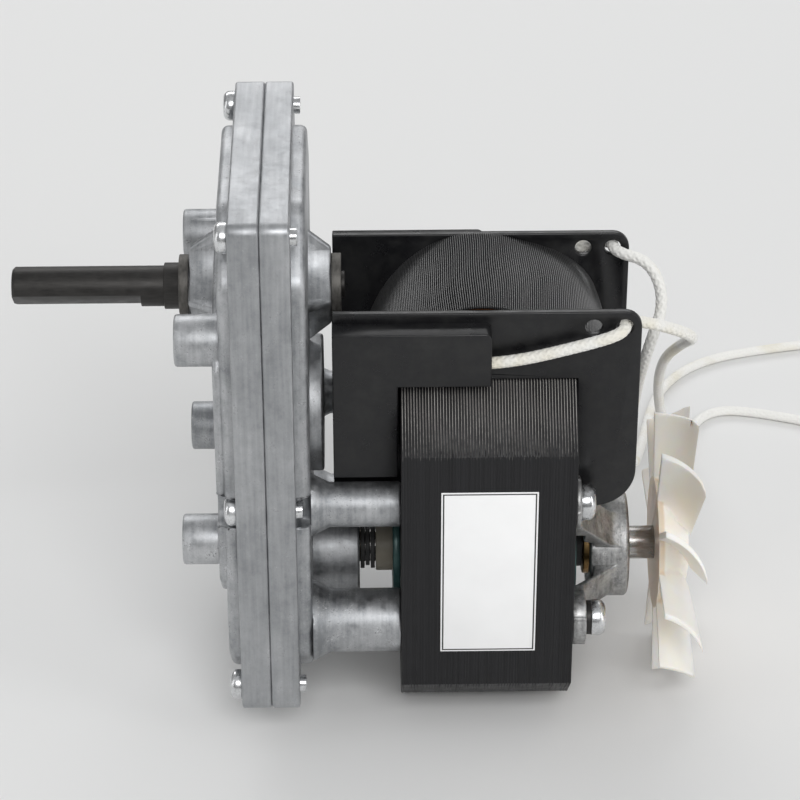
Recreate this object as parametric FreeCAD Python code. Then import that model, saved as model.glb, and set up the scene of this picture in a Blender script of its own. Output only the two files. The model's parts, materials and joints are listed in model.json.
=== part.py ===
"""Geared motor: a shaded-pole motor on a two-shell spur gearbox, with a cooling fan on the rotor shaft.

Millimetres. X runs along the shafts, from the output end to the fan, and Z is up.
The origin is the centre of the four mounting bosses, in the plane of their faces.
"""

import FreeCAD, Part
import math
import os

V = FreeCAD.Vector
X_AXIS = V(1, 0, 0)

# mounting bosses
BOSS_SPACING_Y = 37.0
BOSS_SPACING_Z = 40.0
BOSS_R = 4.4
BOSS_HOLE_R = 2.1
BOSS_HOLE_DEPTH = 9.0

# gearbox shells
GEAR_SIDE_ROOM = 2.06
GEAR_TOP_ROOM = 1.38
BOX_BELOW_ROTOR = 16.7
BOX_CORNER_R = 2.0
PARTING_X = 14.8
FRONT_RIM = 5.2
REAR_RIM = 5.0
FRONT_STEP = 2.1
FRONT_RAISE = 3.3
REAR_RAISE = 2.4
RAISE_INSET = 2.5
RAISE_TOP_CUT = 10.0
RAISE_BOTTOM_CUT = 8.0
RAISE_FILLET = 1.2
PANEL_INSET = 3.3
PANEL_BELOW_ARBOR = 9.3
PANEL_CORNER = 6.0
PANEL_FILLET = 0.8
DOME_DROP = 3.0
DOME_RISE = 12.0
SHELL_WALL = 1.6
SCREW_INSET = 3.6
MID_SCREW_Z = -10.6
SCREW_R = 1.5
SCREW_HEAD_R = 2.6
SCREW_HEAD_H = 2.1
SCREW_POST_R = 3.5
SCREW_ROOM = 0.5
SCREW_TIP = 1.1
PAD_R = 12.0
PAD_Y = -2.0
PAD_Z = -2.5
PAD_THICK = 2.3
SLIP = 0.03

# output shaft and its bushes
OUTPUT_SHAFT_R = 3.5
OUTPUT_SHAFT_REACH = 28.5
FLAT_DEPTH = 1.1
FLAT_LENGTH = 22.0
FLAT_TURN = 225.0
SHAFT_CHAMFER = 0.5
JOURNAL_R = 4.0
COLLAR_REACH = 2.5
STUB_R = 2.3
STUB_LENGTH = 0.6
OUTPUT_BOSS_WALL = 0.6
OUTPUT_BOSS_TURN = 41.0
BOSS_RIB = 1.2
BOSS_RIB_RISE = 4.5
FRONT_BOSS_RISE = 4.5
REAR_BOSS_RISE = 3.9
BUSH_WALL = 0.5
BUSH_FLANGE_R = 5.4
BUSH_FLANGE = 1.7
WASHER_R = 7.0

# gear train
OUTPUT_TO_ROTOR = 54.3
PINION_TEETH = 10
GEAR_TEETH = (38, 38, 38, 44)
GEAR_MODULES = (0.6, 0.65, 0.8, 0.9)
PRESSURE_ANGLE = math.radians(25)
ADDENDUM = 0.8
DEDENDUM = 1.05
BACKLASH = 0.16
ARBOR_R = 1.5
ARBOR_SEAT = 0.9
ARBOR_3_Y = -5.5
ARBOR_2_Y = 8.0
GEAR_END_GAP = 0.6
GEAR_GAP = 0.4
GEAR_1_FACE = 2.6
GEAR_2_FACE = 3.6
GEAR_3_FACE = 3.5
GEAR_4_FACE = 4.4

# motor
STACK_LENGTH = 30.0
STACK_WIDTH = 48.0
STACK_BELOW_ROTOR = 20.6
STACK_TOP_CUT = 9.5
STACK_BOTTOM_CUT = 7.0
CORE_HEIGHT = 12.8
BORE_R = 13.0
AIR_GAP = 0.35
POLE_TOP = 17.2
WINDOW_ROOM = 0.4
BRIDGE_GAP = 1.2
ROTOR_SHAFT_R = 3.0
END_RING_R = 11.6
END_RING_LENGTH = 1.3
SHADING_R = 0.9
SHADING_REACH = 1.9
SHADING_SPAN = 9.0
BOLT_Y = 18.5
UPPER_BOLT_UP = 21.2
LOWER_BOLT_DOWN = 3.3
BOLT_R = 2.0
BOLT_HEAD_R = 3.2
BOLT_HEAD_H = 2.6
BOLT_WASHER = 1.0
BOLT_GRIP = 11.0
UPPER_PILLAR_R = 3.9
LOWER_PILLAR_R = 5.6
PILLAR_FLARE = 1.6
BEARING_R = 5.5
BEARING_LENGTH = 7.0
BEARING_WALL = 3.0
FRONT_CUP_LENGTH = 8.3
SPACER_R = 4.6
SPACER_LENGTH = 4.3
SHIM_R = 4.2
SHIM_GAP = 0.15
SHIM_COUNT = 3

# coil
BOBBIN_FRONT_GAP = 4.0
BOBBIN_FRONT_OVERHANG = 11.5
BOBBIN_REAR_OVERHANG = 10.7
BOBBIN_LENGTH = 29.0
BOBBIN_HEIGHT = 39.0
FLANGE = 1.4
TUBE_WALL = 1.2
BOBBIN_SLIP = 0.15
FLANGE_TOP_R = 3.0
FLANGE_BOTTOM_R = 7.4
POCKET_DEPTH = 4.0
POCKET_LENGTH = 26.8
POCKET_LIP = 1.8
POCKET_R = 1.2
POCKET_HEIGHT = 10.2
POCKET_LEG = 11.0
POCKET_LEG_BOTTOM = -7.7
LEAD_HOLE_R = 1.45
LEAD_HOLE_INSET = 2.9
SPARE_HOLE_STEP = 5.2
COIL_HALF_WIDTH = 21.7
COIL_TOP = 20.7
COIL_BOTTOM = 18.2
COIL_CROWN = 0.8
TAPE = 0.6
COIL_END_GAP = 0.2
COIL_UPPER_SHAPE = (
    (-0.97, 0.05), (-0.9, 0.3), (-0.72, 0.62), (-0.42, 0.89), (0.0, 1.0), (0.31, 0.93), (0.62, 0.82),
    (0.84, 0.66), (0.97, 0.44), (1.0, 0.15),
)
COIL_LOWER_SHAPE = ((0.97, 0.3), (0.78, 0.8), (0.28, 1.0), (-0.28, 1.0), (-0.78, 0.8), (-0.95, 0.3))

# rear bracket and fan
BRACKET_FOOT = 2.5
BRACKET_UPPER_FOOT = 1.0
FOOT_R = 4.6
ARM_WIDTH = 6.5
ARM_RISE = 4.2
ARM_SHOULDER = 3.5
ARM_ROOM = 1.0
CUP_R = 9.6
CUP_REACH = 11.0
CUP_DEPTH = 7.0
RELIEF_DEPTH = 2.4
RELIEF_RISE = 6.0
RELIEF_ROOM = 4.5
FEET_ROOM = 0.2
FAN_GAP = 5.0
FAN_DEPTH = 7.2
FAN_R = 24.6
FAN_HUB_R = 5.3
FAN_DISC_R = 12.0
FAN_DISC = 1.3
FAN_BLADE_ROOT = 4.0
FAN_BLADES = 10
BLADE = 1.2
BLADE_SWEEP = 8.4
BLADE_ROOT_DEPTH = 5.8
BLADE_ROOT_SWEEP = 5.0

# label and leads
LABEL_WIDTH = 16.6
LABEL_HEIGHT = 33.3
LABEL_THICK = 0.12
LABEL_START = 44.5
LABEL_TOP_ABOVE_ROTOR = 27.0
LEAD_R = 1.0
LEAD_SEAT = 4.0
LEAD_EXIT_Z = 13.7

OUTPUT_Z = BOSS_SPACING_Z / 2
ROTOR_Z = OUTPUT_Z - OUTPUT_TO_ROTOR


def circles_meet(a, ra, b, rb, side):
    """Where two circles cross, on the chosen side of the line from a to b."""
    dy, dz = b[0] - a[0], b[1] - a[1]
    gap = math.hypot(dy, dz)
    along = (ra * ra - rb * rb + gap * gap) / (2 * gap)
    across = side * math.sqrt(ra * ra - along * along)
    return (a[0] + (dy * along - dz * across) / gap, a[1] + (dz * along + dy * across) / gap)


def centre_distance(stage):
    return GEAR_MODULES[stage] * (PINION_TEETH + GEAR_TEETH[stage]) / 2


def tip_radius(stage):
    """The outside radius of the large gear of a stage."""
    return GEAR_MODULES[stage] * (GEAR_TEETH[stage] / 2 + ADDENDUM)


def below(point, distance, y):
    """The point at a distance under another one, at a given y."""
    return (y, point[1] - math.sqrt(distance**2 - (y - point[0]) ** 2))


ROTOR_AXIS = (0.0, ROTOR_Z)
OUTPUT_AXIS = (0.0, OUTPUT_Z)
ARBOR_3 = below(OUTPUT_AXIS, centre_distance(3), ARBOR_3_Y)
ARBOR_2 = below(ARBOR_3, centre_distance(2), ARBOR_2_Y)
ARBOR_1 = circles_meet(ROTOR_AXIS, centre_distance(0), ARBOR_2, centre_distance(1), 1)
AXES = (ROTOR_AXIS, ARBOR_1, ARBOR_2, ARBOR_3, OUTPUT_AXIS)
ARBORS = {"arbor_1": ARBOR_1, "arbor_2": ARBOR_2, "arbor_3": ARBOR_3}

GEAR_REACH = max(abs(axis[0]) + tip_radius(stage) for stage, axis in enumerate(AXES[1:]))
BOX_WIDTH = 2 * (GEAR_REACH + GEAR_SIDE_ROOM + SHELL_WALL + RAISE_INSET)
BOX_TOP = OUTPUT_Z + tip_radius(3) + GEAR_TOP_ROOM + SHELL_WALL + RAISE_INSET
BOX_BOTTOM = ROTOR_Z - BOX_BELOW_ROTOR
PANEL_BOTTOM = ARBOR_1[1] - PANEL_BELOW_ARBOR
RIM_FRONT = PARTING_X - FRONT_RIM
RIM_REAR = PARTING_X + REAR_RIM
STEP_FACE = RIM_FRONT - FRONT_STEP
FRONT_FACE = RIM_FRONT - FRONT_RAISE
REAR_FACE = RIM_REAR + REAR_RAISE
CAVITY_FRONT = FRONT_FACE + SHELL_WALL
CAVITY_REAR = REAR_FACE - SHELL_WALL
SCREW_Y = BOX_WIDTH / 2 - SCREW_INSET
SCREW_ZS = (BOX_TOP - SCREW_INSET, MID_SCREW_Z, BOX_BOTTOM + SCREW_INSET)
FLANGE_LEFT = REAR_FACE + BOBBIN_FRONT_GAP
STACK_START = FLANGE_LEFT + BOBBIN_FRONT_OVERHANG
STACK_END = STACK_START + STACK_LENGTH
FLANGE_RIGHT = STACK_END + BOBBIN_REAR_OVERHANG
BOBBIN_WIDTH = FLANGE_RIGHT - FLANGE_LEFT
BOBBIN_X = FLANGE_LEFT + BOBBIN_WIDTH / 2
CUP_END = STACK_END + CUP_REACH
FAN_START = CUP_END + FAN_GAP
COIL_Z = ROTOR_Z + POLE_TOP + WINDOW_ROOM + BOBBIN_HEIGHT / 2
STACK_TOP = COIL_Z + CORE_HEIGHT / 2
STACK_BOTTOM = ROTOR_Z - STACK_BELOW_ROTOR
CORE_BOTTOM = STACK_TOP - CORE_HEIGHT
COIL_X = STACK_START + STACK_LENGTH / 2
BOLT_ZS = {"upper": ROTOR_Z + UPPER_BOLT_UP, "lower": ROTOR_Z - LOWER_BOLT_DOWN}
FLANGE_TOP = COIL_Z + BOBBIN_HEIGHT / 2
FOOT_THICKNESS = {"upper": BRACKET_UPPER_FOOT, "lower": BRACKET_FOOT}
LEAD_HOLE_X = FLANGE_RIGHT - LEAD_HOLE_INSET
LEAD_HOLE_Z = FLANGE_TOP - LEAD_HOLE_INSET
POCKET_END = FLANGE_LEFT + POCKET_LENGTH
LEAD_Y = BOBBIN_LENGTH / 2 + POCKET_DEPTH / 2
FRONT_CUP_END = REAR_FACE + FRONT_CUP_LENGTH

PARTS = {}


def rod(x0, x1, r, y=0.0, z=0.0):
    """A round bar along X."""
    return Part.makeCylinder(r, x1 - x0, V(x0, y, z), X_AXIS)


def tube(x0, x1, r, bore, y=0.0, z=0.0):
    """A round bar along X with a bore."""
    return rod(x0, x1, r, y, z).cut(rod(x0 - 1, x1 + 1, bore, y, z))


def prism(points, x0, x1):
    """An outline in the YZ plane, carried along X."""
    ring = [V(x0, y, z) for y, z in points]
    return Part.Face(Part.makePolygon(ring + ring[:1])).extrude(V(x1 - x0, 0, 0))


def edges_along(shape, direction, near=None):
    """The straight edges that run in a direction, and pass a test if one is given."""
    found = []
    for edge in shape.Edges:
        a, b = edge.Vertexes[0].Point, edge.Vertexes[-1].Point
        run = b.sub(a)
        if run.Length > 1e-6 and abs(abs(run.dot(direction)) - run.Length) < 1e-6:
            if near is None or near(a):
                found.append(edge)
    return found


def edges_on_plane(shape, x):
    """The edges that lie wholly in the plane at x."""
    return [e for e in shape.Edges if abs(e.BoundBox.XMin - x) < 1e-6 and abs(e.BoundBox.XMax - x) < 1e-6]


def rounded(shape, radius, direction=X_AXIS):
    """A prism with all its corners along one direction rounded."""
    return shape.makeFillet(radius, edges_along(shape, direction))


# gearbox outlines


def raise_outline(inset):
    """The raised middle of a shell: a tall panel with its corners cut away for the screws."""
    half = BOX_WIDTH / 2 - inset
    top, bottom = BOX_TOP - inset, BOX_BOTTOM + inset
    t, b = RAISE_TOP_CUT, RAISE_BOTTOM_CUT
    right = [(half, bottom + b), (half, top - t), (half - t, top)]
    left = [(-half + t, top), (-half, top - t), (-half, bottom + b)]
    return right + left + [(-half + b, bottom), (half - b, bottom)]


def shell_rim(x0, x1):
    """The flat plate round the edge, full width."""
    half = BOX_WIDTH / 2
    corners = [(-half, BOX_BOTTOM), (half, BOX_BOTTOM), (half, BOX_TOP), (-half, BOX_TOP)]
    return rounded(prism(corners, x0, x1), BOX_CORNER_R)


def raised_panel(x_rim, x_face):
    """The raised middle, with a soft edge round its face."""
    panel = rounded(prism(raise_outline(RAISE_INSET), x_rim, x_face), RAISE_TOP_CUT / 2)
    return panel.makeFillet(RAISE_FILLET, edges_on_plane(panel, x_face))


def domed_panel(inset, x0, x1):
    """The second step of the front: upright sides, a round top and cut lower corners."""
    half = BOX_WIDTH / 2 - inset
    low = PANEL_BOTTOM + inset - PANEL_INSET
    high = OUTPUT_Z - DOME_DROP
    cut = PANEL_CORNER
    right = [V(x0, half - cut, low), V(x0, half, low + cut), V(x0, half, high)]
    left = [V(x0, -half, high), V(x0, -half, low + cut), V(x0, -half + cut, low)]
    top = high + DOME_RISE + PANEL_INSET - inset
    dome = Part.Arc(right[-1], V(x0, 0, top), left[0]).toShape()
    outline = Part.Wire([dome, *Part.makePolygon(left + right).Edges])
    return Part.Face(outline).extrude(V(x1 - x0, 0, 0))


def screw_places():
    return [(side * SCREW_Y, z) for z in SCREW_ZS for side in (-1, 1)]


def bolt_places(level):
    return [(side * BOLT_Y, BOLT_ZS[level]) for side in (-1, 1)]


def cavity(x0, x1):
    """The room for the gears inside the raised middle, which leaves a post round each screw."""
    inset = RAISE_INSET + SHELL_WALL
    room = rounded(prism(raise_outline(inset), x0, x1), RAISE_TOP_CUT / 2)
    return without_posts(room, x0, x1)


def without_posts(room, x0, x1):
    return room.cut([rod(x0 - 1, x1 + 1, SCREW_POST_R, y, z) for y, z in screw_places()])


def output_boss(x_wall, x_end):
    """A square boss round the output shaft, with a rib down each corner that spreads to the wall."""
    half = JOURNAL_R + BUSH_WALL + OUTPUT_BOSS_WALL
    corner = half * math.sqrt(2)
    boss = prism([(-half, -half), (half, -half), (half, half), (-half, half)], x_wall, x_end)
    y = -BOSS_RIB / 2
    ring = [
        V(x_wall, y, corner - BOSS_RIB), V(x_wall, y, corner + BOSS_RIB_RISE),
        V(x_end, y, corner), V(x_end, y, corner - BOSS_RIB),
    ]
    rib = Part.Face(Part.makePolygon(ring + ring[:1])).extrude(V(0, BOSS_RIB, 0))
    ribs = []
    for k in range(4):
        copy = rib.copy()
        copy.rotate(V(0, 0, 0), X_AXIS, 45 + 90 * k)
        ribs.append(copy)
    boss = boss.fuse(ribs)
    boss.rotate(V(0, 0, 0), X_AXIS, OUTPUT_BOSS_TURN)
    boss.translate(V(0, 0, OUTPUT_Z))
    return boss


# gear train


def involute(angle):
    return math.tan(angle) - angle


def tooth_flank(teeth, module):
    """Points up one involute flank as (radius, angle from the tooth's middle)."""
    pitch = module * teeth / 2
    base = pitch * math.cos(PRESSURE_ANGLE)
    root, tip = pitch - DEDENDUM * module, pitch + ADDENDUM * module
    at_pitch = (math.pi * module / 2 - BACKLASH / 2) / 2 / pitch
    steps = [pitch, tip] if root > base else [base, pitch, tip]
    flank = [
        (r, at_pitch + involute(PRESSURE_ANGLE) - involute(math.acos(min(1.0, base / r)))) for r in steps
    ]
    if root > base:
        turn = at_pitch + involute(PRESSURE_ANGLE) - involute(math.acos(base / root))
    else:
        turn = flank[0][1]
    return [(root, turn)] + flank


def gear(teeth, module, axis, towards, x0, x1, gap_first):
    """A spur gear. A tooth, or a gap if gap_first, points at the gear that it meshes with."""
    start = math.atan2(towards[1] - axis[1], towards[0] - axis[0])
    if gap_first:
        start += math.pi / teeth
    flank = tooth_flank(teeth, module)
    points = []
    for k in range(teeth):
        middle = start + 2 * math.pi * k / teeth
        points += [(r, middle - a) for r, a in flank] + [(r, middle + a) for r, a in reversed(flank)]
    return prism([(axis[0] + r * math.cos(a), axis[1] + r * math.sin(a)) for r, a in points], x0, x1)


def mesh(stage, x0, x1, driver):
    """One gear of a meshing pair: the pinion on axis number stage, or the gear on the next one."""
    here, there = AXES[stage], AXES[stage + 1]
    if driver:
        return gear(PINION_TEETH, GEAR_MODULES[stage], here, there, x0, x1, False)
    return gear(GEAR_TEETH[stage], GEAR_MODULES[stage], there, here, x0, x1, True)


# gears from front to rear: gear 3, then gears 2 and 4 side by side, then gear 1
GEAR_3_X = CAVITY_FRONT + GEAR_END_GAP
GEAR_3_END = GEAR_3_X + GEAR_3_FACE
GEAR_4_X = GEAR_3_END + GEAR_GAP
GEAR_4_END = GEAR_4_X + GEAR_4_FACE
GEAR_2_END = GEAR_3_END + GEAR_GAP + GEAR_2_FACE
GEAR_1_X = GEAR_4_END + GEAR_GAP
GEAR_1_END = GEAR_1_X + GEAR_1_FACE


def make_gear_train():
    bore = ARBOR_R + SLIP
    cluster_1 = mesh(0, GEAR_1_X, GEAR_1_END, False).fuse(mesh(1, GEAR_3_END + GEAR_GAP, GEAR_1_X, True))
    cluster_2 = mesh(1, GEAR_4_X, GEAR_2_END, False).fuse(mesh(2, GEAR_3_X, GEAR_4_X, True))
    cluster_3 = mesh(2, GEAR_3_X, GEAR_3_END, False).fuse(mesh(3, GEAR_3_END, GEAR_4_END, True))
    for name, shape, axis in (
        ("gear_cluster_1", cluster_1, ARBOR_1),
        ("gear_cluster_2", cluster_2, ARBOR_2),
        ("gear_cluster_3", cluster_3, ARBOR_3),
    ):
        PARTS[name] = shape.cut(rod(CAVITY_FRONT, CAVITY_REAR, bore, *axis))
    for name, axis in ARBORS.items():
        PARTS[name] = rod(CAVITY_FRONT - ARBOR_SEAT, CAVITY_REAR + ARBOR_SEAT, ARBOR_R, *axis)
    pinion = mesh(0, GEAR_1_X, GEAR_1_END, True)
    PARTS["motor_pinion"] = pinion.cut(rod(GEAR_1_X - 1, GEAR_1_END + 1, PINION_BORE_R, *ROTOR_AXIS))


PINION_BORE_R = 1.2


# housings


def make_housings():
    panel = domed_panel(PANEL_INSET, RIM_FRONT, FRONT_FACE)
    panel = panel.makeFillet(PANEL_FILLET, edges_on_plane(panel, FRONT_FACE))
    front = shell_rim(RIM_FRONT, PARTING_X).fuse([raised_panel(RIM_FRONT, STEP_FACE), panel])
    rear = shell_rim(PARTING_X, RIM_REAR).fuse(raised_panel(RIM_REAR, REAR_FACE))

    notches = []
    for y, z in screw_places():
        notches.append(rod(0, RIM_FRONT, SCREW_HEAD_R + SCREW_ROOM, y, z))
        notches.append(rod(RIM_REAR, REAR_FACE + PAD_THICK, SCREW_HEAD_R + SCREW_ROOM, y, z))
    holes = [rod(0, RIM_REAR + 1, SCREW_R + SLIP, y, z) for y, z in screw_places()]

    panel_room = domed_panel(PANEL_INSET + SHELL_WALL, CAVITY_FRONT, PARTING_X)
    panel_room = without_posts(panel_room, CAVITY_FRONT, PARTING_X)
    rooms = [cavity(STEP_FACE + SHELL_WALL, PARTING_X), panel_room]
    front = front.cut(notches + rooms)
    bosses = []
    threads = []
    for y in (-BOSS_SPACING_Y / 2, BOSS_SPACING_Y / 2):
        for z in (-BOSS_SPACING_Z / 2, BOSS_SPACING_Z / 2):
            bosses.append(rod(0, CAVITY_FRONT, BOSS_R, y, z))
            threads.append(rod(-1, BOSS_HOLE_DEPTH - BOSS_HOLE_DEPTH / 4, BOSS_HOLE_R, y, z))
    bosses.append(output_boss(CAVITY_FRONT, FRONT_FACE - FRONT_BOSS_RISE))
    front = front.fuse(bosses)

    rear = rear.cut(notches + [cavity(PARTING_X, CAVITY_REAR)])
    additions = [rod(CAVITY_REAR, REAR_FACE + PAD_THICK, PAD_R, PAD_Y, PAD_Z)]
    additions.append(output_boss(CAVITY_REAR, REAR_FACE + REAR_BOSS_RISE))
    additions.append(rod(CAVITY_REAR, FRONT_CUP_END, BEARING_R + BEARING_WALL, *ROTOR_AXIS))
    for level, r in (("upper", UPPER_PILLAR_R), ("lower", LOWER_PILLAR_R)):
        for y, z in bolt_places(level):
            additions.append(rod(CAVITY_REAR, STACK_START, r, y, z))
            flare = Part.makeCone(r + PILLAR_FLARE, r, PILLAR_FLARE * 2, V(REAR_FACE, y, z), X_AXIS)
            additions.append(flare)
    inside_rim = rounded(
        prism(raise_outline(0.6), PARTING_X, STACK_START + 1), RAISE_TOP_CUT / 2
    )
    additions = [a.common(inside_rim) for a in additions]
    rear = rear.fuse(additions)

    bush_hole = JOURNAL_R + BUSH_WALL + SLIP / 3
    front_cuts = holes + threads + [rod(-1, CAVITY_FRONT + 1, bush_hole, *OUTPUT_AXIS)]
    rear_cuts = list(holes) + [rod(CAVITY_REAR - 1, FRONT_CUP_END, bush_hole, *OUTPUT_AXIS)]
    for axis in ARBORS.values():
        front_cuts.append(rod(CAVITY_FRONT - ARBOR_SEAT, CAVITY_FRONT + 1, ARBOR_R + SLIP / 3, *axis))
        rear_cuts.append(rod(CAVITY_REAR - 1, CAVITY_REAR + ARBOR_SEAT, ARBOR_R + SLIP / 3, *axis))
    for level in BOLT_ZS:
        for y, z in bolt_places(level):
            rear_cuts.append(rod(STACK_START - BOLT_GRIP, STACK_START + 1, BOLT_R + SLIP, y, z))
    rear_cuts.append(rod(CAVITY_REAR - 1, FRONT_CUP_END + 1, ROTOR_SHAFT_R + 0.7, *ROTOR_AXIS))
    bearing_seat = FRONT_CUP_END - BEARING_LENGTH
    rear_cuts.append(rod(bearing_seat, FRONT_CUP_END + 1, BEARING_R + SLIP / 3, *ROTOR_AXIS))
    PARTS["front_housing"] = front.cut(front_cuts)
    PARTS["rear_housing"] = rear.cut(rear_cuts)


def pan_head_screw(x_seat, x_tip, r, head_r, head_h, y, z):
    """A pan-head screw that points along +X, with its head before the seat."""
    head = rod(x_seat - head_h, x_seat, head_r, y, z)
    head = head.makeFillet(head_h * 0.55, edges_on_plane(head, x_seat - head_h))
    slot = head_h * 0.4
    cross = [
        Part.makeBox(slot, head_r, 0.6, V(x_seat - head_h, y - head_r / 2, z - 0.3)),
        Part.makeBox(slot, 0.6, head_r, V(x_seat - head_h, y - 0.3, z - head_r / 2)),
    ]
    return head.cut(cross).fuse(rod(x_seat - 0.1, x_tip, r, y, z))


def make_fasteners():
    screws = [
        pan_head_screw(RIM_FRONT, RIM_REAR + SCREW_TIP, SCREW_R, SCREW_HEAD_R, SCREW_HEAD_H, y, z)
        for y, z in screw_places()
    ]
    PARTS["housing_screws"] = Part.Compound(screws)

    bolts, washers = [], []
    for level in BOLT_ZS:
        for y, z in bolt_places(level):
            seat = STACK_END + FOOT_THICKNESS[level]
            if level == "lower":
                washers.append(tube(seat, seat + BOLT_WASHER, BOLT_HEAD_R - 0.2, BOLT_R + 0.1, y, z))
                seat += BOLT_WASHER
            tip = STACK_START - BOLT_GRIP + 1
            bolt = pan_head_screw(-seat, -tip, BOLT_R, BOLT_HEAD_R, BOLT_HEAD_H, y, z)
            bolts.append(bolt.mirror(V(0, 0, 0), X_AXIS))
    PARTS["through_bolts"] = Part.Compound(bolts)
    PARTS["spring_washers"] = Part.Compound(washers)


# output shaft


def make_output():
    front_end = FRONT_FACE - FRONT_BOSS_RISE
    rear_end = REAR_FACE + REAR_BOSS_RISE
    tip, flat_end = -OUTPUT_SHAFT_REACH, FLAT_LENGTH - OUTPUT_SHAFT_REACH
    keep = 2 * OUTPUT_SHAFT_R
    flat = Part.makeBox(FLAT_LENGTH, keep, keep, V(tip, OUTPUT_SHAFT_R - FLAT_DEPTH, -OUTPUT_SHAFT_R))
    flat.rotate(V(0, 0, 0), X_AXIS, FLAT_TURN)
    flat.translate(V(0, 0, OUTPUT_Z))
    driving_end = rod(tip, flat_end, OUTPUT_SHAFT_R, *OUTPUT_AXIS)
    driving_end = driving_end.makeChamfer(SHAFT_CHAMFER, edges_on_plane(driving_end, tip)).cut(flat)
    round_part = rod(flat_end, 0, OUTPUT_SHAFT_R, *OUTPUT_AXIS)
    journal = rod(-COLLAR_REACH, rear_end + BUSH_FLANGE, JOURNAL_R, *OUTPUT_AXIS)
    stub = rod(rear_end, rear_end + BUSH_FLANGE + STUB_LENGTH, STUB_R, *OUTPUT_AXIS)
    PARTS["output_shaft"] = round_part.fuse([driving_end, journal, stub])

    sleeve_r, bore = JOURNAL_R + BUSH_WALL, JOURNAL_R + SLIP
    front_bush = rod(front_end, CAVITY_FRONT, sleeve_r, *OUTPUT_AXIS)
    front_bush = front_bush.fuse(rod(front_end - BUSH_FLANGE, front_end, BUSH_FLANGE_R, *OUTPUT_AXIS))
    rear_bush = rod(CAVITY_REAR, rear_end, sleeve_r, *OUTPUT_AXIS)
    rear_bush = rear_bush.fuse(rod(rear_end, rear_end + BUSH_FLANGE, BUSH_FLANGE_R, *OUTPUT_AXIS))
    through = rod(front_end - 2 * BUSH_FLANGE, rear_end + 2 * BUSH_FLANGE, bore, *OUTPUT_AXIS)
    PARTS["front_bush"] = front_bush.cut(through)
    PARTS["rear_bush"] = rear_bush.cut(through)

    gear_4 = mesh(3, GEAR_4_X, GEAR_4_END, False)
    PARTS["output_gear"] = gear_4.cut(rod(GEAR_4_X - 1, GEAR_4_END + 1, JOURNAL_R + SLIP / 3, *OUTPUT_AXIS))
    gap = 0.05
    PARTS["front_thrust_washer"] = tube(CAVITY_FRONT + gap, GEAR_4_X, WASHER_R, bore, *OUTPUT_AXIS)
    PARTS["rear_thrust_washer"] = tube(GEAR_4_END, CAVITY_REAR - gap, WASHER_R, bore, *OUTPUT_AXIS)


# stator


def make_stator():
    half, top, bottom = STACK_WIDTH / 2, STACK_TOP, STACK_BOTTOM
    t, b = STACK_TOP_CUT, STACK_BOTTOM_CUT
    outline = [
        (half - b, bottom), (half, bottom + b), (half, top - t), (half - t, top),
        (-half + t, top), (-half, top - t), (-half, bottom + b), (-half + b, bottom),
    ]
    window_half = BOBBIN_LENGTH / 2 + BOBBIN_SLIP
    pole_top = ROTOR_Z + POLE_TOP
    window = [
        (-window_half, pole_top), (window_half, pole_top),
        (window_half, top + 1), (-window_half, top + 1),
    ]
    x0, x1 = STACK_START, STACK_END
    stack = prism(outline, x0, x1)
    bridge = Part.makeBox(
        STACK_LENGTH + 2, BRIDGE_GAP, 2 * (BORE_R + 1), V(x0 - 1, -BRIDGE_GAP / 2, ROTOR_Z - BORE_R - 1)
    )
    cuts = [prism(window, x0 - 1, x1 + 1), rod(x0 - 1, x1 + 1, BORE_R, *ROTOR_AXIS), bridge]
    for level in BOLT_ZS:
        for y, z in bolt_places(level):
            cuts.append(rod(x0 - 1, x1 + 1, BOLT_R + 0.2, y, z))
    rings = [shading_ring(turn, 0) for turn in SHADING_TURNS]
    slots = [shading_ring(turn, 0.1) for turn in SHADING_TURNS]
    PARTS["stator_stack"] = stack.cut(cuts + slots)
    PARTS["shading_rings"] = Part.Compound(rings)
    core = [
        (-window_half, CORE_BOTTOM), (window_half, CORE_BOTTOM),
        (window_half, top), (-window_half, top),
    ]
    PARTS["coil_core"] = prism(core, x0, x1)


SHADING_TURNS = (55.0, 235.0)


def shading_ring(turn, room):
    """A closed copper loop round part of a pole, let into two slots in the stack."""
    r = SHADING_R + room
    lo = -SHADING_SPAN / 2
    hi = SHADING_SPAN / 2
    reach = SHADING_REACH
    out = BORE_R + 2.4
    bars = [rod(STACK_START - reach, STACK_END + reach, r, out, s) for s in (lo, hi)]
    for x in (STACK_START - reach + r - 0.2, STACK_END + reach - r + 0.2):
        bars.append(Part.makeCylinder(r, hi - lo, V(x, out, lo), V(0, 0, 1)))
    ring = bars[0].fuse(bars[1:])
    ring.rotate(V(0, 0, 0), X_AXIS, turn)
    ring.translate(V(0, 0, ROTOR_Z))
    return ring


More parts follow.
